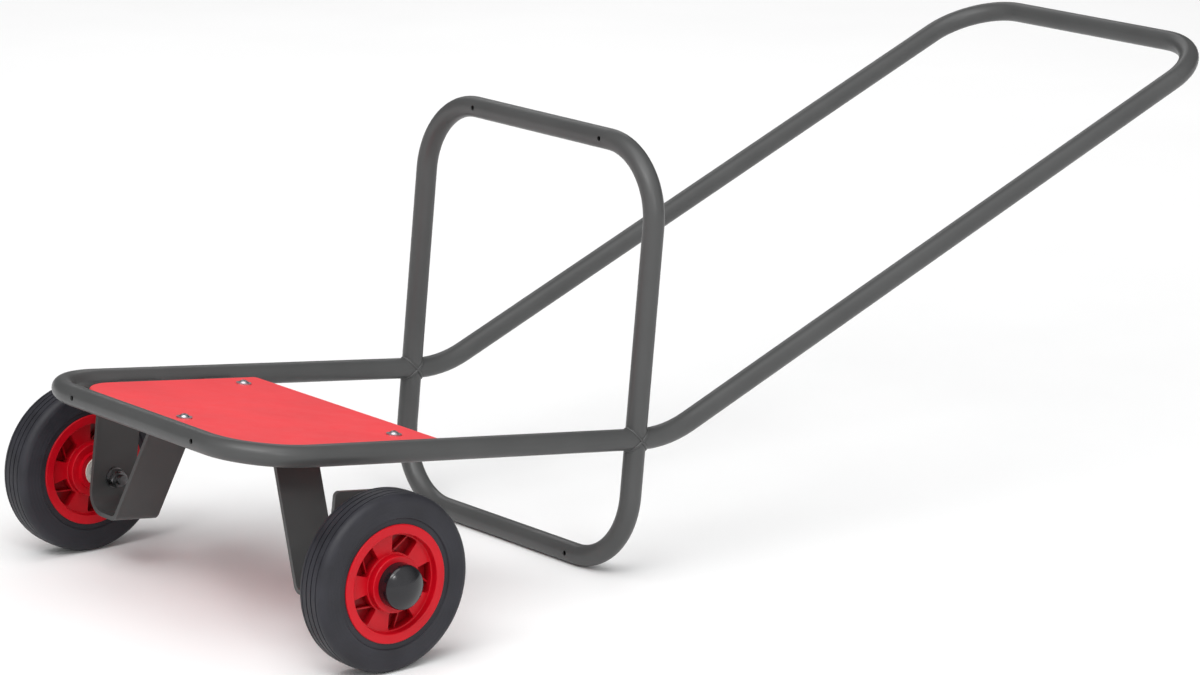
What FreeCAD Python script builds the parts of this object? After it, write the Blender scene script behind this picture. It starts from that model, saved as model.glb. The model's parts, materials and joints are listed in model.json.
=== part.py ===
"""Two-wheel hand cart: three bent-tube hoops, a red deck plate and two fixed wheels.

Units are millimetres. +X runs from the front bar to the handle, +Y is the cart's right-hand
side for someone at the handle, +Z is up. The origin is on the ground, under the middle of the
cart's overall length. The cart stands on its two wheels and on the foot of the support hoop.
"""
import FreeCAD
import Part
import math
import os

V = FreeCAD.Vector

# --- frame tube -------------------------------------------------------------
TUBE_D = 25.0                 # outside diameter of all three hoops
TUBE_WALL = 2.0
RAIL_SPACING = 425.0          # between the centre lines of the two side rails
VENT_D = 6.0                  # drain holes left for coating
VENT_SPACING = 236.0          # between the two holes of one cross tube

# --- platform hoop ----------------------------------------------------------
FRONT_BAR_X = 114.0           # front bar ahead of the axle
FRONT_BAR_Z = 237.0           # centre height of the front bar
PLATFORM_SLOPE = 7.5          # degrees, falling towards the handle
PLATFORM_LENGTH = 540.0       # front bar to the crossing with the support hoop
PLATFORM_CORNER_R = 80.0      # centre-line radius

# --- support hoop -----------------------------------------------------------
SUPPORT_LEAN = 6.0            # degrees back from upright
SUPPORT_RISE = 334.0          # from the crossing up to the top bar, along the hoop
SUPPORT_CORNER_R = 88.0

# --- handle hoop ------------------------------------------------------------
HANDLE_KNEE = 44.0            # bend's corner point behind the crossing
HANDLE_BEND_R = 150.0
HANDLE_RISE = 21.3            # degrees above level
HANDLE_LENGTH = 968.0         # from the bend's corner point to the end bar
HANDLE_END_SPACING = 434.0    # between the rails at the end bar
HANDLE_CORNER_R = 82.0

# --- deck -------------------------------------------------------------------
DECK_THICK = 3.0
DECK_TOP = 3.0                # top face above the rails' centre plane
DECK_END = 285.5              # rear edge behind the front bar, along the rails
DECK_GAP = 18.0               # deck edge to tube
DECK_EDGE_R = 2.2
DECK_REAR_R = 6.0             # rear corners, seen from above
STRAP_THICK = 5.0             # flat bar of the deck supports and the wheel brackets
REAR_STRAP_WIDTH = 40.0
FRONT_TAB_WIDTH = 44.0
FRONT_TAB_END = 68.0          # tab's end behind the front bar
FRONT_SCREW_AT = 48.5         # front screw behind the front bar
FRONT_SCREW_Y = -16.0         # front screw stands a little left of the middle
REAR_SCREW_AT = 242.5         # rear screws, and the rear strap, behind the front bar
REAR_SCREW_IN = 67.0          # rear screws inboard of the rails' centre lines

# --- deck screws (M6 button head) ------------------------------------------
SCREW_D = 6.0
SCREW_HOLE_CLEARANCE = 0.6
SCREW_HEAD_D = 12.0
SCREW_HEAD_H = 3.4
SCREW_SOCKET_AF = 4.0
SCREW_SOCKET_DEPTH = 2.0
SCREW_TIP = 3.0               # thread showing below the nut
DECK_WASHER_D = 18.0
DECK_WASHER_THICK = 1.6
DECK_NUT_AF = 10.0
DECK_NUT_H = 6.0

# --- wheels -----------------------------------------------------------------
WHEEL_D = 200.0
TYRE_WIDTH = 44.0
RIM_D = 132.0                 # hub flange, seen as the red disc
RIM_FLANGE = 4.0              # thickness of the flange beside the tyre's foot
TYRE_FOOT = 5.0               # tyre's foot sits this deep between the flanges
TYRE_SHOULDER_R = 9.0
TYRE_CROWN = 1.2              # tread is this much fuller in the middle
TYRE_CROWN_R = 120.0
BEAD_WIDTH = 6.0              # sunk ring of the tyre's side beside the rim
BEAD_STEP = 2.0
GROOVE_OFFSETS = (-12.0, -4.0, 4.0, 12.0)
GROOVE_WIDTH = 1.6
GROOVE_DEPTH = 1.2
MOULD_R = 1.0                 # softened edges of the hub and tyre
RIM_LIP = 11.5                # width of the raised ring of the hub
LIP_DRAFT = 1.0               # slant of the lip's inner wall
WEB_DEPTH = 8.0               # web below the lip
RING_R = 31.5                 # raised ring around the cap
WINDOW_INNER_R = 33.5
WINDOW_OUTER_R = 53.0
WINDOW_SPAN = 40.0            # degrees
WINDOW_COUNT = 5
WINDOW_FIRST = 68.0           # degrees from level, first window's middle
WINDOW_CORNER_R = 2.5
MID_WALL = 5.0                # wall between the inner and outer windows
RIB_THICK = 1.8
RIB_DEPTH = 5.0               # rib's edge below the web
RIB_TURN = 35.0               # degrees, rib across the window
HUB_LENGTH = 60.0             # length of the hub's boss
BOSS_R = 22.6
RING_LENGTH = 48.0            # across the two raised rings

# --- bearing ----------------------------------------------------------------
SLEEVE_D = 20.0
SLEEVE_BORE = 12.6
BUSH_RUNNING = 0.05           # radial running clearance on the sleeve
BUSH_WALL = 3.0
BUSH_FLANGE_R = 17.0
BUSH_FLANGE_THICK = 2.0
BUSH_LENGTH = 22.0
END_FLOAT = 0.5               # wheel's end play on each side

# --- axle bolt (M12) --------------------------------------------------------
BOLT_D = 12.0
BOLT_HEAD_AF = 19.0
BOLT_HEAD_H = 7.5
BOLT_TIP = 4.5                # thread showing past the nut
NUT_H = 12.0
NUT_HEX_H = 8.5               # hexagon part, the rest is the locking collar
NUT_COLLAR_D = 17.0
WASHER_D = 24.0
WASHER_BORE = 13.0
WASHER_THICK = 2.5
SPACER_D = 22.0
SPACER_LENGTH = 25.1          # bracket's leg to the washer on the bearing sleeve
HEX_BEVEL = 0.6               # part of a hexagon's corner height that is turned down

# --- wheel bracket ----------------------------------------------------------
BRACKET_WIDTH = 59.0
BRACKET_GAP = 4.5             # side rail to the outer leg
BRACKET_TOP = 85.0            # outer leg's top above the axle
BRACKET_DROP = 38.0           # middle of the bottom web below the axle
BRACKET_HEEL_IN = 52.0        # inner leg starts this far inboard of the outer leg
BRACKET_LEAN = 25.3           # degrees, inner leg from upright
BRACKET_OUTER_R = 25.5
BRACKET_INNER_R = 10.0
BRACKET_CORNER_R = 6.0
BRACKET_HOLE_CLEARANCE = 0.5

# --- hub cap ----------------------------------------------------------------
CAP_D = 50.0
CAP_FIT = 0.1                 # cap's skirt over the boss, radial
CAP_PAST_BOSS = 8.5           # skirt runs on past the boss's end
CAP_DOME = 9.0
CAP_WALL = 2.0
CAP_SHOULDER_R = 5.0

# --- worked out -------------------------------------------------------------
TUBE_R = TUBE_D / 2
RAIL_Y = RAIL_SPACING / 2
WHEEL_R = WHEEL_D / 2
SLOPE = math.radians(PLATFORM_SLOPE)
LEAN = math.radians(SUPPORT_LEAN)
RISE = math.radians(HANDLE_RISE)
ALONG = V(math.cos(SLOPE), 0, -math.sin(SLOPE))       # down the platform, to the handle
NORMAL = V(math.sin(SLOPE), 0, math.cos(SLOPE))       # square to the platform, up
SIDE = V(0, 1, 0)
UP_HOOP = V(math.sin(LEAN), 0, math.cos(LEAN))
UP_HANDLE = V(math.cos(RISE), 0, math.sin(RISE))
CROSSING_X = -FRONT_BAR_X + PLATFORM_LENGTH * ALONG.x
END_BAR_X = CROSSING_X + HANDLE_KNEE * ALONG.x + HANDLE_LENGTH * UP_HANDLE.x
AXLE_X = -((END_BAR_X + TUBE_R) + (-FRONT_BAR_X - TUBE_R)) / 2
AXLE = V(AXLE_X, 0, WHEEL_R)
FRONT = V(AXLE_X - FRONT_BAR_X, 0, FRONT_BAR_Z)
CROSSING = FRONT + ALONG * PLATFORM_LENGTH
HOOP_TOP = CROSSING + UP_HOOP * SUPPORT_RISE
HOOP_FOOT = CROSSING - UP_HOOP * ((CROSSING.z - TUBE_R) / UP_HOOP.z)
KNEE = CROSSING + ALONG * HANDLE_KNEE
HANDLE_END = KNEE + UP_HANDLE * HANDLE_LENGTH
PLANE_ABOVE_AXLE = (FRONT - AXLE).dot(NORMAL)         # rails' centre plane above the axle
AXLE_ALONG = (AXLE - FRONT).dot(ALONG)                # axle behind the front bar, along the rails
DECK_UNDER = DECK_TOP - DECK_THICK
STRAP_UNDER = DECK_UNDER - STRAP_THICK

# places across the cart, measured outwards from its middle
LEG_Y = RAIL_Y + TUBE_R + BRACKET_GAP + STRAP_THICK / 2
HEEL_Y = LEG_Y - BRACKET_HEEL_IN
LEG_OUT = LEG_Y + STRAP_THICK / 2
LEG_IN = LEG_Y - STRAP_THICK / 2
SLEEVE_IN = LEG_OUT + SPACER_LENGTH + WASHER_THICK
BOSS_IN = SLEEVE_IN + END_FLOAT + BUSH_FLANGE_THICK
WHEEL_Y = BOSS_IN + HUB_LENGTH / 2
BOSS_OUT = WHEEL_Y + HUB_LENGTH / 2
SLEEVE_OUT = BOSS_OUT + BUSH_FLANGE_THICK + END_FLOAT
HEAD_IN = SLEEVE_OUT + WASHER_THICK
NUT_OUT = LEG_IN - WASHER_THICK
BOLT_END = NUT_OUT - NUT_H - BOLT_TIP
BUSH_R = SLEEVE_D / 2 + BUSH_RUNNING + BUSH_WALL
CAP_SKIRT = (HUB_LENGTH - RING_LENGTH) / 2 + CAP_PAST_BOSS

SIDES = (("left", -1), ("right", 1))


# --- paths ------------------------------------------------------------------
def rounded_path(points, radii, closed=False):
    """Straight runs joined by tangent arcs: a list of (start, end, centre or None)."""
    count = len(points)
    corners = {}
    for i, radius in enumerate(radii):
        if radius == 0:
            continue
        here = points[i]
        back = (points[i - 1] - here).normalize()
        ahead = (points[(i + 1) % count] - here).normalize()
        half = back.getAngle(ahead) / 2
        reach = radius / math.tan(half)
        centre = here + (back + ahead).normalize() * (radius / math.sin(half))
        corners[i] = (here + back * reach, here + ahead * reach, centre)
    pieces = []
    for i in range(count if closed else count - 1):
        j = (i + 1) % count
        start = corners[i][1] if i in corners else points[i]
        end = corners[j][0] if j in corners else points[j]
        pieces.append((start, end, None))
        if j in corners:
            pieces.append(corners[j])
    return pieces


def ring_face(centre, normal, outer_r, inner_r):
    face = Part.Face(Part.Wire(Part.makeCircle(outer_r, centre, normal)))
    if inner_r:
        face = face.cut(Part.Face(Part.Wire(Part.makeCircle(inner_r, centre, normal))))
    return face


def bent_tube(pieces, outer_r, inner_r):
    """A round tube, or a bar where inner_r is 0, along the pieces of a rounded path."""
    solids = []
    for start, end, centre in pieces:
        if centre is None:
            run = end - start
            solids.append(ring_face(start, run, outer_r, inner_r).extrude(run))
            continue
        arm = start - centre
        axis = arm.cross(end - centre)
        angle = math.degrees(arm.getAngle(end - centre))
        tangent = axis.cross(arm)
        solids.append(ring_face(start, tangent, outer_r, inner_r).revolve(centre, axis, angle))
    return solids[0].multiFuse(solids[1:]).removeSplitter()


def wire_of(pieces):
    """The wire of a rounded path."""
    edges = []
    for start, end, centre in pieces:
        if centre is None:
            edges.append(Part.makeLine(start, end))
            continue
        arm = (start - centre) + (end - centre)
        middle = centre + arm.normalize() * (start - centre).Length
        edges.append(Part.Arc(start, middle, end).toShape())
    return Part.Wire(edges)


def offset_path(pieces, distance):
    """The same flat path moved sideways in the plane square to X."""
    moved = []
    for start, end, centre in pieces:
        if centre is None:
            left = V(1, 0, 0).cross(end - start).normalize() * distance
            moved.append((start + left, end + left, None))
            continue
        toward = math.copysign(1, (start - centre).cross(end - centre).x)
        scale = 1 - distance * toward / (start - centre).Length
        moved.append((centre + (start - centre) * scale, centre + (end - centre) * scale, centre))
    return moved


def on_rail_plane(along, y, above):
    """A point given along the rails behind the front bar, across, and above their plane."""
    return FRONT + ALONG * along + SIDE * y + NORMAL * above


def tilted_box(along, y, above, length, width, height):
    """A box lying in the platform's slope, from its front left lower corner."""
    box = Part.makeBox(length, width, height)
    box.Placement = FreeCAD.Placement(
        on_rail_plane(along, y, above), FreeCAD.Rotation(SIDE, PLATFORM_SLOPE)
    )
    return box


# --- hoops ------------------------------------------------------------------
def side_pair(point, y=RAIL_Y):
    return point - SIDE * y, point + SIDE * y


def vent_drills(centre, direction):
    """Two drills that pierce only the wall that faces the given way."""
    return [
        Part.makeCylinder(VENT_D / 2, TUBE_D, centre + SIDE * (s * VENT_SPACING / 2), direction)
        for s in (-1, 1)
    ]


def platform_path():
    front_left, front_right = side_pair(FRONT)
    back_left, back_right = side_pair(CROSSING)
    points = [back_left, front_left, front_right, back_right]
    return rounded_path(points, [0, PLATFORM_CORNER_R, PLATFORM_CORNER_R, 0])


def support_path():
    top_left, top_right = side_pair(HOOP_TOP)
    foot_left, foot_right = side_pair(HOOP_FOOT)
    points = [foot_left, top_left, top_right, foot_right]
    return rounded_path(points, [SUPPORT_CORNER_R] * 4, closed=True)


def handle_path():
    start_left, start_right = side_pair(CROSSING)
    knee_left, knee_right = side_pair(KNEE)
    end_left, end_right = side_pair(HANDLE_END, HANDLE_END_SPACING / 2)
    points = [start_left, knee_left, end_left, end_right, knee_right, start_right]
    radii = [0, HANDLE_BEND_R, HANDLE_CORNER_R, HANDLE_CORNER_R, HANDLE_BEND_R, 0]
    return rounded_path(points, radii)


def hoop(path):
    return bent_tube(path, TUBE_R, TUBE_R - TUBE_WALL)


def make_hoops():
    support_bar = bent_tube(support_path(), TUBE_R, 0)
    forward = UP_HOOP.cross(SIDE)
    platform = hoop(platform_path()).cut(support_bar)
    platform = platform.cut(vent_drills(FRONT, ALONG * -1))
    support = hoop(support_path())
    support = support.cut(vent_drills(HOOP_TOP, forward) + vent_drills(HOOP_FOOT, forward))
    handle = hoop(handle_path()).cut(support_bar)
    return {"platform_hoop": platform, "support_hoop": support, "handle_hoop": handle}


# --- deck and its supports --------------------------------------------------
def deck_screw_places():
    rear = RAIL_Y - REAR_SCREW_IN
    return [(FRONT_SCREW_AT, FRONT_SCREW_Y), (REAR_SCREW_AT, -rear), (REAR_SCREW_AT, rear)]


def screw_holes():
    radius = (SCREW_D + SCREW_HOLE_CLEARANCE) / 2
    length = DECK_THICK + STRAP_THICK + 2
    return [
        Part.makeCylinder(radius, length, on_rail_plane(a, y, STRAP_UNDER - 1), NORMAL)
        for a, y in deck_screw_places()
    ]


def deck_plate():
    front = TUBE_R + DECK_GAP
    half = RAIL_Y - front
    front_r = PLATFORM_CORNER_R - front
    corners = [
        on_rail_plane(along, y, DECK_UNDER)
        for along, y in ((front, -half), (front, half), (DECK_END, half), (DECK_END, -half))
    ]
    radii = [front_r, front_r, DECK_REAR_R, DECK_REAR_R]
    outline = wire_of(rounded_path(corners, radii, closed=True))
    plate = Part.Face(outline).extrude(NORMAL * DECK_THICK)
    top = [f for f in plate.Faces if (f.CenterOfMass - FRONT).dot(NORMAL) > DECK_TOP - 0.1]
    plate = plate.makeFillet(DECK_EDGE_R, top[0].Edges)
    return plate.cut(screw_holes())


def deck_supports(hoops_solid):
    cross = tilted_box(AXLE_ALONG - BRACKET_WIDTH / 2, -RAIL_Y, STRAP_UNDER, BRACKET_WIDTH,
                       RAIL_SPACING, STRAP_THICK)
    strap = tilted_box(REAR_SCREW_AT - REAR_STRAP_WIDTH / 2, -RAIL_Y, STRAP_UNDER,
                       REAR_STRAP_WIDTH, RAIL_SPACING, STRAP_THICK)
    tab = tilted_box(0, FRONT_SCREW_Y - FRONT_TAB_WIDTH / 2, STRAP_UNDER, FRONT_TAB_END,
                     FRONT_TAB_WIDTH, STRAP_THICK)
    cuts = screw_holes() + [hoops_solid]
    return {
        "cross_member_front": cross.cut(hoops_solid),
        "cross_strap_rear": strap.cut(cuts),
        "deck_tab_front": tab.cut(cuts),
    }


def hexagon(across_flats, height, base, axis):
    radius = across_flats / math.sqrt(3)
    corners = [V(radius * math.cos(math.radians(a)), radius * math.sin(math.radians(a)), 0)
               for a in range(0, 361, 60)]
    prism = Part.Face(Part.makePolygon(corners)).extrude(V(0, 0, height))
    prism.Placement = FreeCAD.Placement(base, FreeCAD.Rotation(V(0, 0, 1), axis))
    return prism


def tube_piece(outer_r, inner_r, length, base, axis):
    return ring_face(base, axis, outer_r, inner_r).extrude(axis * length)


def bevelled_hexagon(across_flats, height, base, axis):
    """A hexagon whose far corners are turned down by a cone."""
    prism = hexagon(across_flats, height, base, axis)
    corner_r = across_flats / math.sqrt(3)
    flat_r = across_flats / 2
    drop = (corner_r - flat_r) * HEX_BEVEL
    straight = Part.makeCylinder(corner_r, height - drop, base, axis)
    cone = Part.makeCone(corner_r, flat_r, drop, base + axis * (height - drop), axis)
    return prism.common(straight.fuse(cone))


def deck_screw(along, y):
    seat = on_rail_plane(along, y, DECK_TOP + DECK_WASHER_THICK)
    down = DECK_THICK + STRAP_THICK + DECK_WASHER_THICK + DECK_NUT_H + SCREW_TIP
    shank = Part.makeCylinder(SCREW_D / 2, down, seat, NORMAL * -1)
    ball_r = (SCREW_HEAD_D ** 2 / 4 + SCREW_HEAD_H ** 2) / (2 * SCREW_HEAD_H)
    ball = Part.makeSphere(ball_r, seat + NORMAL * (SCREW_HEAD_H - ball_r))
    head = ball.common(Part.makeCylinder(SCREW_HEAD_D / 2, SCREW_HEAD_H + 1, seat, NORMAL))
    socket_base = seat + NORMAL * (SCREW_HEAD_H - SCREW_SOCKET_DEPTH)
    socket = hexagon(SCREW_SOCKET_AF, SCREW_SOCKET_DEPTH + 1, socket_base, NORMAL)
    return head.fuse(shank).cut(socket)


def deck_fasteners():
    screws = []
    washers = []
    nuts = []
    for along, y in deck_screw_places():
        screws.append(deck_screw(along, y))
        seat = on_rail_plane(along, y, DECK_TOP)
        bore = (SCREW_D + SCREW_HOLE_CLEARANCE) / 2
        washers.append(tube_piece(DECK_WASHER_D / 2, bore, DECK_WASHER_THICK, seat, NORMAL))
        under = on_rail_plane(along, y, STRAP_UNDER)
        nut = bevelled_hexagon(DECK_NUT_AF, DECK_NUT_H, under, NORMAL * -1)
        hole = Part.makeCylinder(SCREW_D / 2, DECK_NUT_H, under, NORMAL * -1)
        nuts.append(nut.cut(hole))
    return {
        "deck_screws": Part.makeCompound(screws),
        "deck_washers": Part.makeCompound(washers),
        "deck_nuts": Part.makeCompound(nuts),
    }


# --- wheel bracket ----------------------------------------------------------
def bracket_profile():
    """Closed outline of the bent strip, seen from the front, with the axle at height 0."""
    top = PLANE_ABOVE_AXLE + STRAP_UNDER
    past_top = top + STRAP_THICK
    inner_y = HEEL_Y - (past_top + BRACKET_DROP) * math.tan(math.radians(BRACKET_LEAN))
    points = [
        V(0, LEG_Y, BRACKET_TOP),
        V(0, LEG_Y, -BRACKET_DROP),
        V(0, HEEL_Y, -BRACKET_DROP),
        V(0, inner_y, past_top),
    ]
    middle = rounded_path(points, [0, BRACKET_OUTER_R, BRACKET_INNER_R, 0])
    out = offset_path(middle, STRAP_THICK / 2)
    back = [(end, start, centre) for start, end, centre in offset_path(middle, -STRAP_THICK / 2)]
    back.reverse()
    ends = [(out[-1][1], back[0][0], None), (back[-1][1], out[0][0], None)]
    return Part.Face(wire_of(out + ends[:1] + back + ends[1:]))


def leg_top_corners(strip):
    """The two edges across the strip's thickness at the free top of its outer leg."""
    return [e for e in strip.Edges
            if e.BoundBox.YLength > STRAP_THICK / 2 and e.BoundBox.XLength < 1
            and e.BoundBox.ZMin > BRACKET_TOP - 1 and e.BoundBox.YMin > HEEL_Y]


def wheel_bracket(side):
    strip = bracket_profile().extrude(V(BRACKET_WIDTH, 0, 0))
    strip.translate(V(-BRACKET_WIDTH / 2, 0, 0))
    top = PLANE_ABOVE_AXLE + STRAP_UNDER
    reach = 2 * LEG_Y
    keep = Part.makeBox(2 * BRACKET_WIDTH, reach, top + reach, V(-BRACKET_WIDTH, 0, -reach))
    strip = strip.common(keep).Solids[0]
    strip = strip.makeFillet(BRACKET_CORNER_R, leg_top_corners(strip))
    hole_r = (BOLT_D + BRACKET_HOLE_CLEARANCE) / 2
    strip = strip.cut(Part.makeCylinder(hole_r, 2 * STRAP_THICK, V(0, LEG_Y - STRAP_THICK, 0), SIDE))
    if side < 0:
        strip = strip.mirror(V(0, 0, 0), SIDE)
    strip.Placement = FreeCAD.Placement(AXLE, FreeCAD.Rotation(SIDE, PLATFORM_SLOPE))
    return strip


# --- axle -------------------------------------------------------------------
def axle_point(side, out):
    return V(AXLE.x, side * out, AXLE.z)


def axle_ring(side, outer_r, inner_r, start, end):
    return tube_piece(outer_r, inner_r, end - start, axle_point(side, start), SIDE * side)


def axle_bolt(side):
    outward = SIDE * side
    head = bevelled_hexagon(BOLT_HEAD_AF, BOLT_HEAD_H, axle_point(side, HEAD_IN), outward)
    shank = axle_ring(side, BOLT_D / 2, 0, BOLT_END, HEAD_IN)
    return head.fuse(shank)


def axle_nut(side):
    inward = SIDE * -side
    seat = axle_point(side, NUT_OUT)
    body = bevelled_hexagon(BOLT_HEAD_AF, NUT_HEX_H, seat, inward)
    collar = axle_ring(side, NUT_COLLAR_D / 2, 0, NUT_OUT - NUT_H, NUT_OUT - NUT_HEX_H / 2)
    return body.fuse(collar).cut(axle_ring(side, BOLT_D / 2, 0, NUT_OUT - NUT_H, NUT_OUT))


def axle_parts(name, side):
    washer = (WASHER_D / 2, WASHER_BORE / 2)
    sleeve_bore = SLEEVE_BORE / 2
    return {
        "axle_bolt_" + name: axle_bolt(side),
        "axle_nut_" + name: axle_nut(side),
        "nut_washer_" + name: axle_ring(side, *washer, NUT_OUT, LEG_IN),
        "axle_spacer_" + name: axle_ring(side, SPACER_D / 2, sleeve_bore, LEG_OUT,
                                         SLEEVE_IN - WASHER_THICK),
        "inner_washer_" + name: axle_ring(side, *washer, SLEEVE_IN - WASHER_THICK, SLEEVE_IN),
        "bearing_sleeve_" + name: axle_ring(side, SLEEVE_D / 2, sleeve_bore, SLEEVE_IN,
                                            SLEEVE_OUT),
        "outer_washer_" + name: axle_ring(side, *washer, SLEEVE_OUT, HEAD_IN),
    }


# --- wheel: built about its own middle, with its axle along +Y outwards --------
def turned(corners):
    """Solid of revolution about Y from (radius, across, corner rounding) points."""
    points = [V(r, y, 0) for r, y, rounding in corners]
    roundings = [rounding for r, y, rounding in corners]
    if any(roundings):
        outline = wire_of(rounded_path(points, roundings, closed=True))
    else:
        outline = Part.makePolygon(points + points[:1])
    return Part.Face(outline).revolve(V(0, 0, 0), SIDE, 360)


def window_prism(start_y, depth):
    """One wedge-shaped window, its middle on +X, from start_y along +Y."""
    half = math.radians(WINDOW_SPAN / 2)
    inner = WINDOW_INNER_R
    outer = WINDOW_OUTER_R
    a = V(inner * math.cos(half), start_y, -inner * math.sin(half))
    b = V(outer * math.cos(half), start_y, -outer * math.sin(half))
    c = V(outer * math.cos(half), start_y, outer * math.sin(half))
    d = V(inner * math.cos(half), start_y, inner * math.sin(half))
    edges = [
        Part.makeLine(a, b),
        Part.Arc(b, V(outer, start_y, 0), c).toShape(),
        Part.makeLine(c, d),
        Part.Arc(d, V(inner, start_y, 0), a).toShape(),
    ]
    prism = Part.Face(Part.Wire(edges)).extrude(V(0, depth, 0))
    upright = [e for e in prism.Edges if abs(e.tangentAt(e.FirstParameter).dot(SIDE)) > 0.9]
    return prism.makeFillet(WINDOW_CORNER_R, upright)


def window_rib(start_y, depth):
    """A thin rib that crosses the window at a slant."""
    middle = (WINDOW_INNER_R + WINDOW_OUTER_R) / 2
    length = 2 * (WINDOW_OUTER_R - WINDOW_INNER_R)
    rib = Part.makeBox(length, depth, RIB_THICK, V(-length / 2, start_y, -RIB_THICK / 2))
    rib.rotate(V(0, 0, 0), SIDE, RIB_TURN)
    rib.translate(V(middle, 0, 0))
    return rib


def hub_windows():
    """Pockets on both faces, with a slanting rib left standing in each."""
    half = TYRE_WIDTH / 2
    web = half - WEB_DEPTH
    depth = web - MID_WALL / 2
    cuts = []
    for face in (-1, 1):
        low = MID_WALL / 2 if face > 0 else -web
        pocket = window_prism(low, depth)
        rib_low = low if face > 0 else low + RIB_DEPTH
        pocket = pocket.cut(window_rib(rib_low, depth - RIB_DEPTH))
        for i in range(WINDOW_COUNT):
            copy = pocket.copy()
            copy.rotate(V(0, 0, 0), SIDE, -(WINDOW_FIRST + i * 360 / WINDOW_COUNT))
            cuts.append(copy)
    return cuts


def mirrored(right):
    """A wheel outline's right half, followed by the same half turned to the left."""
    return right + [(r, -y, rounding) for r, y, rounding in reversed(right)]


def wheel_hub():
    half = TYRE_WIDTH / 2
    web = half - WEB_DEPTH
    rim_r = RIM_D / 2
    seat_r = rim_r - TYRE_FOOT
    lip_r = rim_r - RIM_LIP
    ring = RING_LENGTH / 2
    boss = HUB_LENGTH / 2
    right = [
        (BUSH_R, boss, 0),
        (BOSS_R, boss, 0),
        (BOSS_R, ring, 0),
        (RING_R, ring, MOULD_R),
        (RING_R, web, MOULD_R),
        (lip_r, web, MOULD_R),
        (lip_r + LIP_DRAFT, half, MOULD_R),
        (rim_r, half, MOULD_R),
        (rim_r, half - RIM_FLANGE, 0),
        (seat_r, half - RIM_FLANGE, 0),
    ]
    return turned(mirrored(right)).cut(hub_windows())


def tread_groove(across):
    """Ring that cuts one groove around the tread."""
    floor = WHEEL_R - GROOVE_DEPTH
    low = across - GROOVE_WIDTH / 2
    high = across + GROOVE_WIDTH / 2
    return turned([(floor, low, 0), (WHEEL_R + 1, low, 0), (WHEEL_R + 1, high, 0),
                   (floor, high, 0)])


def tyre():
    half = TYRE_WIDTH / 2
    rim_r = RIM_D / 2
    wall_r = rim_r + BEAD_WIDTH
    right = [
        (rim_r - TYRE_FOOT, half - RIM_FLANGE, 0),
        (rim_r, half - RIM_FLANGE, 0),
        (rim_r, half - BEAD_STEP, 0),
        (wall_r, half - BEAD_STEP, MOULD_R / 2),
        (wall_r + BEAD_STEP / 2, half, MOULD_R),
        (WHEEL_R - TYRE_CROWN, half, TYRE_SHOULDER_R),
    ]
    left = mirrored(right)[len(right):]
    ring = turned(right + [(WHEEL_R, 0, TYRE_CROWN_R)] + left)
    return ring.cut([tread_groove(across) for across in GROOVE_OFFSETS])


def bush(face):
    """Flanged plain bush, pressed in from the boss's outer (+1) or inner (-1) end."""
    end = HUB_LENGTH / 2
    bore = SLEEVE_D / 2 + BUSH_RUNNING
    points = [
        (bore, end - BUSH_LENGTH), (BUSH_R, end - BUSH_LENGTH), (BUSH_R, end),
        (BUSH_FLANGE_R, end), (BUSH_FLANGE_R, end + BUSH_FLANGE_THICK),
        (bore, end + BUSH_FLANGE_THICK),
    ]
    return turned([(r, face * y, 0) for r, y in points])


def hub_cap():
    """Push-on cap: a skirt over the boss under a shallow dome."""
    start = RING_LENGTH / 2
    rim = start + CAP_SKIRT
    outer = CAP_D / 2
    dome_r = (outer ** 2 + CAP_DOME ** 2) / (2 * CAP_DOME)
    dome_centre = V(0, rim + CAP_DOME - dome_r, 0)
    length = CAP_SKIRT + CAP_DOME
    shell = Part.makeCylinder(outer, length, V(0, start, 0), SIDE)
    shell = shell.common(Part.makeSphere(dome_r, dome_centre)).Solids[0]
    shoulder = [e for e in shell.Edges if e.BoundBox.YMin > rim - 0.1]
    shell = shell.makeFillet(CAP_SHOULDER_R, shoulder)
    hollow = Part.makeCylinder(BOSS_R + CAP_FIT, length, V(0, start, 0), SIDE)
    hollow = hollow.common(Part.makeSphere(dome_r - CAP_WALL, dome_centre))
    return shell.cut(hollow)


def wheel_parts(name, side):
    made = {
        "wheel_hub_": wheel_hub(),
        "tyre_": tyre(),
        "bush_inner_": bush(-1),
        "bush_outer_": bush(1),
        "hub_cap_": hub_cap(),
    }
    placed = {}
    for part, shape in made.items():
        if side < 0:
            shape = shape.mirror(V(0, 0, 0), SIDE)
        shape.translate(V(AXLE.x, side * WHEEL_Y, AXLE.z))
        placed[part + name] = shape
    return placed


def build():
    nodes = make_hoops()
    platform_bar = bent_tube(platform_path(), TUBE_R, 0)
    nodes.update(deck_supports(platform_bar))
    nodes["deck_plate"] = deck_plate()
    nodes.update(deck_fasteners())
    for name, side in SIDES:
        nodes["wheel_bracket_" + name] = wheel_bracket(side)
        nodes.update(axle_parts(name, side))
        nodes.update(wheel_parts(name, side))
    return nodes


def main():
    os.makedirs("parts", exist_ok=True)
    for name, shape in build().items():
        shape.exportStep("parts/" + name + ".step")


main()
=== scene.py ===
"""Looks of the two-wheel hand cart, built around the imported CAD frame. Metres, +Z up."""
import json
import math

import bmesh
import bpy
from mathutils import Matrix, Vector


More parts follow.
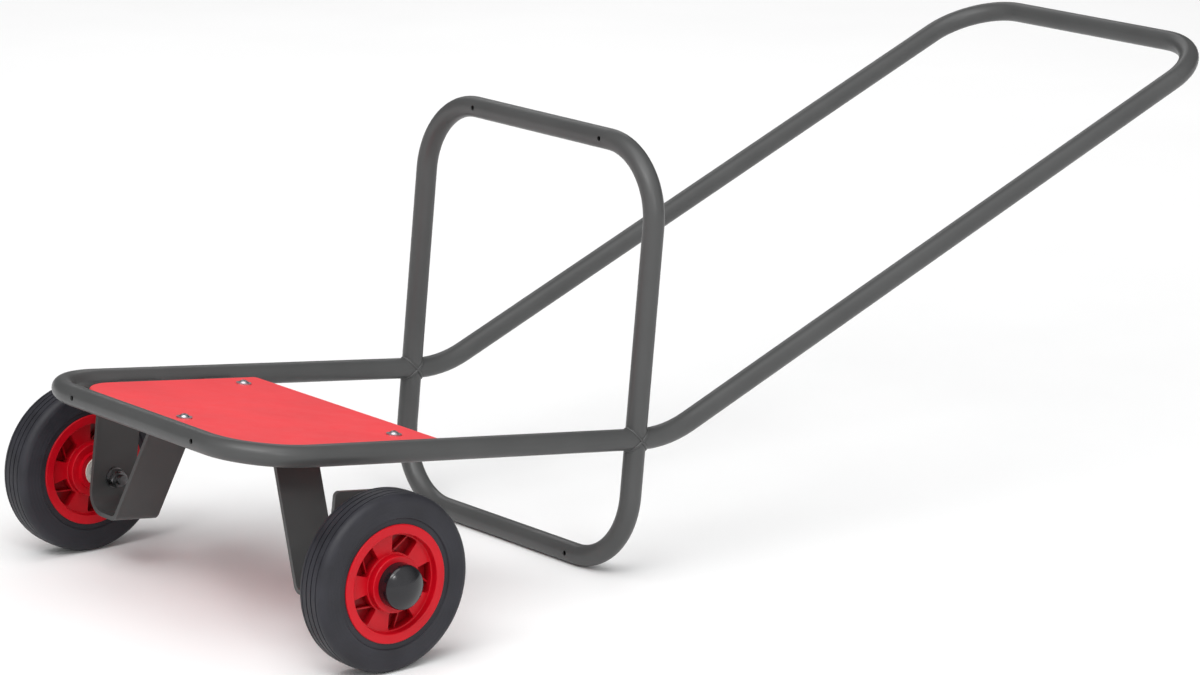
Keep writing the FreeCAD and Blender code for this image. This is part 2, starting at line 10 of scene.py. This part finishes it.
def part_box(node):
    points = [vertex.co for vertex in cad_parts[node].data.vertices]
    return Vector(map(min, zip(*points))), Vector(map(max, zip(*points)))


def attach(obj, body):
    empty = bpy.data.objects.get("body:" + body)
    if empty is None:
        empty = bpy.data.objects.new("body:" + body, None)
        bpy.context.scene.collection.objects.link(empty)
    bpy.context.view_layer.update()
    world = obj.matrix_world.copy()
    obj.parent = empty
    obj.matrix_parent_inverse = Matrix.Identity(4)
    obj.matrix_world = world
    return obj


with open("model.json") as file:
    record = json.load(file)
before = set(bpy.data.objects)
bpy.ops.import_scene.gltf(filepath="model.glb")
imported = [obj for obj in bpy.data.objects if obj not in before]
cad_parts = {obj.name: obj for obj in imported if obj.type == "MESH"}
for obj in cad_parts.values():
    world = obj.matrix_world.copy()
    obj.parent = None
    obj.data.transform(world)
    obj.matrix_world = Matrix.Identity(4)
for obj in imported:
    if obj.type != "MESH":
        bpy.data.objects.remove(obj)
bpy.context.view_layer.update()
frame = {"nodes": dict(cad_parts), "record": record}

# --- camera and stage -------------------------------------------------------
CAMERA_AT = Vector((-3.3562, -3.9802, 1.5090))
CAMERA_YAW = 50.43            # degrees from +X towards +Y
CAMERA_PITCH = -13.87
CAMERA_ROLL = 0.11
CAMERA_LENS = 133.3           # mm on a 36 mm wide sensor
CAMERA_SHIFT = (-0.0086, -0.0068)
SENSOR_WIDTH = 36.0
CLIP_END = 100.0
FLOOR_SIZE = 60.0
WORLD_FADE = (-0.35, 0.55)    # where the surroundings go from dark to bright

# --- sizes repeated from the CAD, in metres -----------------------------------
TUBE_R = 0.0125
RAIL_Y = 0.2125
SLOPE = math.radians(7.5)
LEAN = math.radians(6.0)
PLATFORM_LENGTH = 0.540
STRAP_UNDER = -0.005          # underside of the straps, from the rails' centre plane
STRAP_THICK = 0.005
BRACKET_LEAN = math.radians(25.3)
BEAD_R = 0.0019
BEAD_INSET = 0.002
RIPPLE = 0.0034               # length of one ripple of a weld bead
RIPPLE_LOW = 0.92             # bead radius at a ripple's start, as a share of BEAD_R
RIPPLE_RISE = 0.10            # how much of BEAD_R it gains by the ripple's end
END_TAPER = 0.5               # an open bead's end rings, as a share of the radius
BEAD_SIDES = 10
SADDLE_POINTS = 180
BEAD_PITCH = 0.0006           # between the rings of a straight bead
STEEP = 0.99                  # a tangent this close to the side axis needs another normal

# --- patterns and painted shade -------------------------------------------------
MOTTLE_STOPS = (0.32, 0.68)
TYRE_RING_PITCH = 0.0045
POCKET_SHADE_FADE = (0.004, 0.0138)  # from the wheel's middle plane, where the painted shade in the hub's pockets fades out

ALONG = Vector((math.cos(SLOPE), 0.0, -math.sin(SLOPE)))
NORMAL = Vector((math.sin(SLOPE), 0.0, math.cos(SLOPE)))
UP_HOOP = Vector((math.sin(LEAN), 0.0, math.cos(LEAN)))
SIDE = Vector((0.0, 1.0, 0.0))
hoop_low, hoop_high = (Vector(corner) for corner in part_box("platform_hoop"))
FRONT = Vector((hoop_low.x + TUBE_R, 0.0, hoop_high.z - TUBE_R))
tyre_low, tyre_high = (Vector(corner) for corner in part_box("tyre_left"))
AXLE = Vector(((tyre_low.x + tyre_high.x) / 2, 0.0, (tyre_low.z + tyre_high.z) / 2))
WHEEL_Y = abs(tyre_low.y + tyre_high.y) / 2


# --- helpers ----------------------------------------------------------------
def link(obj):
    bpy.context.scene.collection.objects.link(obj)
    return obj


def add_camera():
    camera = bpy.data.cameras.new("camera")
    camera.lens = CAMERA_LENS
    camera.sensor_width = SENSOR_WIDTH
    camera.shift_x, camera.shift_y = CAMERA_SHIFT
    camera.clip_end = CLIP_END
    obj = link(bpy.data.objects.new("camera", camera))
    yaw = math.radians(CAMERA_YAW)
    pitch = math.radians(CAMERA_PITCH)
    forward = Vector((math.cos(pitch) * math.cos(yaw), math.cos(pitch) * math.sin(yaw),
                      math.sin(pitch)))
    turn = forward.to_track_quat("-Z", "Y").to_matrix().to_4x4()
    roll = Matrix.Rotation(math.radians(CAMERA_ROLL), 4, "Z")
    obj.matrix_world = Matrix.Translation(CAMERA_AT) @ turn @ roll
    bpy.context.scene.camera = obj


def aim(obj, at, toward):
    turn = (Vector(toward) - Vector(at)).to_track_quat("-Z", "Y")
    obj.matrix_world = Matrix.Translation(at) @ turn.to_matrix().to_4x4()


def add_light(name, at, toward, size, power):
    lamp = bpy.data.lights.new(name, "AREA")
    lamp.shape = "RECTANGLE"
    lamp.size, lamp.size_y = size
    lamp.energy = power
    aim(link(bpy.data.objects.new(name, lamp)), at, toward)


def add_sky_panel(at, strength, spread):
    """A wide even light from far above, which leaves soft shadows."""
    lamp = bpy.data.lights.new("panel", "SUN")
    lamp.energy = strength
    lamp.angle = math.radians(spread)
    aim(link(bpy.data.objects.new("panel", lamp)), at, (0.0, 0.0, 0.0))


def add_world(bright_side, dark, bright):
    """Soft surroundings, brighter on one side of the studio than on the other."""
    world = bpy.data.worlds.new("studio")
    world.use_nodes = True
    nodes, links = world.node_tree.nodes, world.node_tree.links
    background = nodes["Background"]
    background.inputs["Color"].default_value = (1.0, 1.0, 1.0, 1.0)
    way = nodes.new("ShaderNodeTexCoord")
    dot = nodes.new("ShaderNodeVectorMath")
    dot.operation = "DOT_PRODUCT"
    dot.inputs[1].default_value = Vector(bright_side).normalized()
    links.new(way.outputs["Generated"], dot.inputs[0])
    level = nodes.new("ShaderNodeMapRange")
    level.interpolation_type = "SMOOTHSTEP"
    level.inputs["From Min"].default_value, level.inputs["From Max"].default_value = WORLD_FADE
    level.inputs["To Min"].default_value = dark
    level.inputs["To Max"].default_value = bright
    links.new(dot.outputs["Value"], level.inputs["Value"])
    links.new(level.outputs["Result"], background.inputs["Strength"])
    bpy.context.scene.world = world


def add_floor(material):
    mesh = bpy.data.meshes.new("floor")
    half = FLOOR_SIZE / 2
    mesh.from_pydata([(-half, -half, 0), (half, -half, 0), (half, half, 0), (-half, half, 0)],
                     [], [(0, 1, 2, 3)])
    floor = link(bpy.data.objects.new("floor", mesh))
    floor.data.materials.append(material)


# --- materials --------------------------------------------------------------
class Material:
    """A Principled material with short calls for the nodes that feed it."""

    def __init__(self, name, colour, roughness, metallic=0.0, specular=0.5):
        self.material = bpy.data.materials.new(name)
        self.material.use_nodes = True
        self.tree = self.material.node_tree
        self.shader = self.tree.nodes["Principled BSDF"]
        self.colour = colour
        self.set("Base Color", (*colour, 1.0))
        self.set("Roughness", roughness)
        self.set("Metallic", metallic)
        self.set("Specular IOR Level", specular)
        self.place = self.node("ShaderNodeTexCoord").outputs["Object"]

    def set(self, socket, value):
        self.shader.inputs[socket].default_value = value

    def node(self, kind, **inputs):
        node = self.tree.nodes.new(kind)
        for name, value in inputs.items():
            socket = node.inputs[name.replace("_", " ")]
            if isinstance(value, bpy.types.NodeSocket):
                self.tree.links.new(value, socket)
            else:
                socket.default_value = value
        return node

    def feed(self, value, socket):
        self.tree.links.new(value, self.shader.inputs[socket])

    def noise(self, scale, detail=3.0, roughness=0.5):
        node = self.node("ShaderNodeTexNoise", Vector=self.place, Scale=scale, Detail=detail,
                         Roughness=roughness)
        return node.outputs["Fac"]

    def math(self, operation, first, second):
        node = self.tree.nodes.new("ShaderNodeMath")
        node.operation = operation
        for socket, value in zip(node.inputs, (first, second)):
            if isinstance(value, bpy.types.NodeSocket):
                self.tree.links.new(value, socket)
            else:
                socket.default_value = value
        return node.outputs["Value"]

    def from_axle(self):
        """Distance from the wheels' axle line."""
        split = self.node("ShaderNodeSeparateXYZ", Vector=self.place)
        x = self.math("SUBTRACT", split.outputs["X"], AXLE.x)
        z = self.math("SUBTRACT", split.outputs["Z"], AXLE.z)
        squares = self.math("ADD", self.math("MULTIPLY", x, x), self.math("MULTIPLY", z, z))
        return self.math("SQRT", squares, 0.0)

    def from_wheel_middle(self):
        """Distance from the middle plane of the nearer wheel."""
        split = self.node("ShaderNodeSeparateXYZ", Vector=self.place)
        out = self.math("ABSOLUTE", split.outputs["Y"], 0.0)
        return self.math("ABSOLUTE", self.math("SUBTRACT", out, WHEEL_Y), 0.0)

    def ramp(self, value, stops):
        """Maps a value through (position, colour) stops."""
        node = self.node("ShaderNodeValToRGB", Fac=value)
        elements = node.color_ramp.elements
        while len(elements) < len(stops):
            elements.new(0.5)
        for element, (position, colour) in zip(elements, stops):
            element.position = position
            element.color = (*colour, 1.0)
        return node.outputs["Color"]

    def mottle(self, value, darker, lighter, painted_shade=None):
        """Feeds the base colour, varied between two factors of itself, and darkened by a painted
        shade factor if asked.
        """
        shades = (shade(self.colour, darker), shade(self.colour, lighter))
        stops = list(zip(MOTTLE_STOPS, shades))
        colour = self.ramp(value, stops)
        # scales the colour down by the painted shade factor
        if painted_shade is not None:
            scaled = self.node("ShaderNodeVectorMath")
            scaled.operation = "SCALE"
            self.tree.links.new(colour, scaled.inputs[0])
            self.tree.links.new(painted_shade, scaled.inputs["Scale"])
            colour = scaled.outputs["Vector"]
        self.feed(colour, "Base Color")

    def span(self, value, low, high, start=0.3, end=0.7):
        """Maps a value from start to end onto low to high."""
        node = self.node("ShaderNodeMapRange", Value=value)
        node.inputs["From Min"].default_value = start
        node.inputs["From Max"].default_value = end
        node.inputs["To Min"].default_value = low
        node.inputs["To Max"].default_value = high
        return node.outputs["Result"]

    def bump(self, layers):
        """Stacks (height, strength, distance) layers of bump."""
        normal = None
        for height, strength, distance in layers:
            node = self.node("ShaderNodeBump", Height=height, Strength=strength,
                             Distance=distance)
            if normal is not None:
                self.tree.links.new(normal, node.inputs["Normal"])
            normal = node.outputs["Normal"]
        self.feed(normal, "Normal")


def shade(colour, amount):
    return tuple(min(1.0, c * amount) for c in colour)


def frame_paint():
    m = Material("frame_paint", (0.062, 0.063, 0.063), 0.36, specular=0.38)
    m.mottle(m.noise(14.0, 2.0), 0.94, 1.07)
    m.feed(m.span(m.noise(60.0, 2.0), 0.33, 0.39), "Roughness")
    m.bump([(m.noise(600.0, 2.0), 0.05, 0.0003), (m.noise(1800.0, 1.0), 0.05, 0.0002)])
    return m.material


def deck_paint():
    m = Material("deck_paint", (0.85, 0.056, 0.066), 0.5, specular=0.3)
    m.mottle(m.noise(9.0, 4.0), 0.95, 1.05)
    m.feed(m.span(m.noise(35.0, 4.0), 0.44, 0.56), "Roughness")
    m.bump([(m.noise(500.0, 2.0), 0.12, 0.0004), (m.noise(7.0, 2.0), 0.10, 0.0010)])
    return m.material


def hub_plastic():
    """Red plastic with painted shade, darker down in the pockets of the hub."""
    m = Material("hub_plastic", (0.50, 0.002, 0.010), 0.34, specular=0.25)
    # painted shade: the base colour drops to half its brightness deep in the hub's pockets
    pocket_shade = m.span(m.from_wheel_middle(), 0.50, 1.0, *POCKET_SHADE_FADE)
    m.mottle(m.noise(30.0, 3.0), 0.93, 1.06, painted_shade=pocket_shade)
    m.feed(m.span(m.noise(60.0, 3.0), 0.28, 0.40), "Roughness")
    m.bump([(m.noise(900.0, 2.0), 0.05, 0.0003), (m.noise(45.0, 2.0), 0.05, 0.0006)])
    return m.material


def tyre_rubber():
    """Rubber with fine moulded rings around the axle."""
    m = Material("tyre_rubber", (0.019, 0.019, 0.024), 0.50, specular=0.3)
    m.mottle(m.noise(25.0, 5.0), 0.8, 1.4)
    m.feed(m.span(m.noise(50.0, 4.0), 0.44, 0.62), "Roughness")
    rings = m.math("SINE", m.math("MULTIPLY", m.from_axle(), 2 * math.pi / TYRE_RING_PITCH), 0.0)
    m.bump([(rings, 0.10, 0.0003), (m.noise(600.0, 3.0), 0.16, 0.0004)])
    return m.material


def cap_plastic():
    m = Material("cap_plastic", (0.008, 0.008, 0.010), 0.16, specular=0.5)
    m.mottle(m.noise(40.0, 3.0), 0.8, 1.3)
    m.feed(m.span(m.noise(80.0, 3.0), 0.13, 0.20), "Roughness")
    m.bump([(m.noise(700.0, 2.0), 0.04, 0.0003)])
    return m.material


def bush_nylon():
    m = Material("bush_nylon", (0.62, 0.60, 0.54), 0.45)
    m.mottle(m.noise(60.0, 3.0), 0.9, 1.05)
    m.bump([(m.noise(900.0, 2.0), 0.05, 0.0003)])
    return m.material


def plated_steel(name, colour):
    m = Material(name, colour, 0.3, metallic=1.0)
    m.mottle(m.noise(180.0, 4.0), 0.82, 1.1)
    m.feed(m.span(m.noise(300.0, 3.0), 0.24, 0.42), "Roughness")
    m.bump([(m.noise(1400.0, 2.0), 0.08, 0.0002)])
    return m.material


def floor_paint():
    m = Material("floor", (0.93, 0.93, 0.93), 0.8, specular=0.1)
    m.mottle(m.noise(2.0, 3.0), 0.99, 1.01)
    return m.material


def dress_nodes(finishes):
    """Gives every CAD node the finish of its material slot."""
    for sub in frame["record"]["subparts"]:
        node = frame["nodes"][sub["node"]]
        node.data.materials.clear()
        node.data.materials.append(finishes[sub["material_slot"]])


# --- weld beads ---------------------------------------------------------------
def on_rail_plane(along, y, above):
    return FRONT + ALONG * along + SIDE * y + NORMAL * above


def saddle(centre, run):
    """Points around a rail where it meets the support hoop's tube, run being the rail's way."""
    across = SIDE.cross(ALONG)
    square = SIDE.cross(UP_HOOP)
    points = []
    for i in range(SADDLE_POINTS):
        turn = i * 2 * math.pi / SADDLE_POINTS
        rise = TUBE_R * math.sin(turn)
        edge = math.copysign(abs(rise), run.dot(square))
        reach = (edge - rise * across.dot(square)) / run.dot(square)
        points.append(centre + SIDE * (TUBE_R * math.cos(turn)) + across * rise + run * reach)
    return points


def straight(start, end):
    count = max(2, round((end - start).length / BEAD_PITCH))
    return [start.lerp(end, i / count) for i in range(count + 1)]


def sweep_bead(mesh, points, closed):
    """Adds a rippled bead along the points."""
    count = len(points)
    rings = []
    travelled = 0.0
    for i, point in enumerate(points):
        before = points[i - 1] if closed or i > 0 else point
        after = points[(i + 1) % count] if closed or i < count - 1 else point
        travelled += (point - before).length
        tangent = (after - before).normalized()
        sideways = abs(tangent.y) > STEEP
        first = tangent.orthogonal() if sideways else tangent.cross(SIDE).normalized()
        second = tangent.cross(first)
        phase = travelled / RIPPLE
        radius = BEAD_R * (RIPPLE_LOW + RIPPLE_RISE * (phase - math.floor(phase)))
        if not closed and i in (0, count - 1):
            radius *= END_TAPER
        rings.append([
            mesh.verts.new(point + (first * math.cos(a) + second * math.sin(a)) * radius)
            for a in (k * math.pi / (BEAD_SIDES / 2) for k in range(BEAD_SIDES))
        ])
    for i in range(count if closed else count - 1):
        low, high = rings[i], rings[(i + 1) % count]
        for k in range(BEAD_SIDES):
            beside = (k + 1) % BEAD_SIDES
            mesh.faces.new((low[k], low[beside], high[beside], high[k]))
    if not closed:
        mesh.faces.new(rings[0])
        mesh.faces.new(rings[-1])


def add_beads(name, runs, material):
    """One piece made of several beads: runs are (points, closed)."""
    mesh = bmesh.new()
    for points, closed in runs:
        sweep_bead(mesh, points, closed)
    bmesh.ops.recalc_face_normals(mesh, faces=mesh.faces)
    data = bpy.data.meshes.new(name)
    mesh.to_mesh(data)
    mesh.free()
    data.shade_smooth()
    piece = link(bpy.data.objects.new(name, data))
    data.materials.append(material)
    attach(piece, "frame")


def strap_reach(node):
    """Where a strap's beads start and end, along the rails behind the front bar."""
    low, high = (Vector(corner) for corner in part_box(node))
    return (low.x - FRONT.x) / ALONG.x + BEAD_INSET, (high.x - FRONT.x) / ALONG.x - BEAD_INSET


def strap_beads(node):
    """Beads under both ends of a strap, where it meets the side rails."""
    start, end = strap_reach(node)
    y = RAIL_Y - math.sqrt(TUBE_R ** 2 - STRAP_UNDER ** 2)
    return [
        (straight(on_rail_plane(start, side * y, STRAP_UNDER),
                  on_rail_plane(end, side * y, STRAP_UNDER)), False)
        for side in (-1, 1)
    ]


def bracket_beads():
    """Beads along both faces of each bracket's inner leg, under the cross member."""
    runs = []
    start, end = strap_reach("cross_member_front")
    for name, side in (("left", -1), ("right", 1)):
        inner = min(abs(corner[1]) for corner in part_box("wheel_bracket_" + name))
        for y in (inner, inner + STRAP_THICK / math.cos(BRACKET_LEAN)):
            runs.append((straight(on_rail_plane(start, side * y, STRAP_UNDER),
                                  on_rail_plane(end, side * y, STRAP_UNDER)), False))
    return runs


finishes = {
    "frame_paint": frame_paint(),
    "deck_paint": deck_paint(),
    "hub_plastic": hub_plastic(),
    "tyre_rubber": tyre_rubber(),
    "cap_plastic": cap_plastic(),
    "bush_nylon": bush_nylon(),
    "zinc": plated_steel("zinc", (0.56, 0.57, 0.60)),
    "dark_steel": plated_steel("dark_steel", (0.22, 0.22, 0.225)),
}
dress_nodes(finishes)

crossing = FRONT + ALONG * PLATFORM_LENGTH
joints = [
    (saddle(crossing + SIDE * (side * RAIL_Y), way), True)
    for side in (-1, 1) for way in (ALONG, -ALONG)
]
add_beads("weld_beads_hoops", joints, finishes["frame_paint"])
straps = strap_beads("cross_member_front") + strap_beads("cross_strap_rear")
add_beads("weld_beads_straps", straps, finishes["frame_paint"])
add_beads("weld_beads_brackets", bracket_beads(), finishes["frame_paint"])

bpy.context.scene.view_settings.view_transform = "Standard"
add_world((-0.55, -0.80, 0.10), 0.14, 0.95)
add_sky_panel((-2.0, -1.5, 6.0), 1.40, 60.0)
add_floor(floor_paint())
add_light("key", (-2.6, -1.2, 3.0), (-0.2, 0.0, 0.2), (2.6, 0.7), 34.0)
add_light("window", (-1.9, -4.4, 2.6), (-0.5, 0.0, 0.2), (0.8, 0.6), 24.0)
add_light("rim", (1.6, 2.8, 2.4), (0.0, 0.0, 0.3), (2.6, 0.9), 13.0)
add_camera()
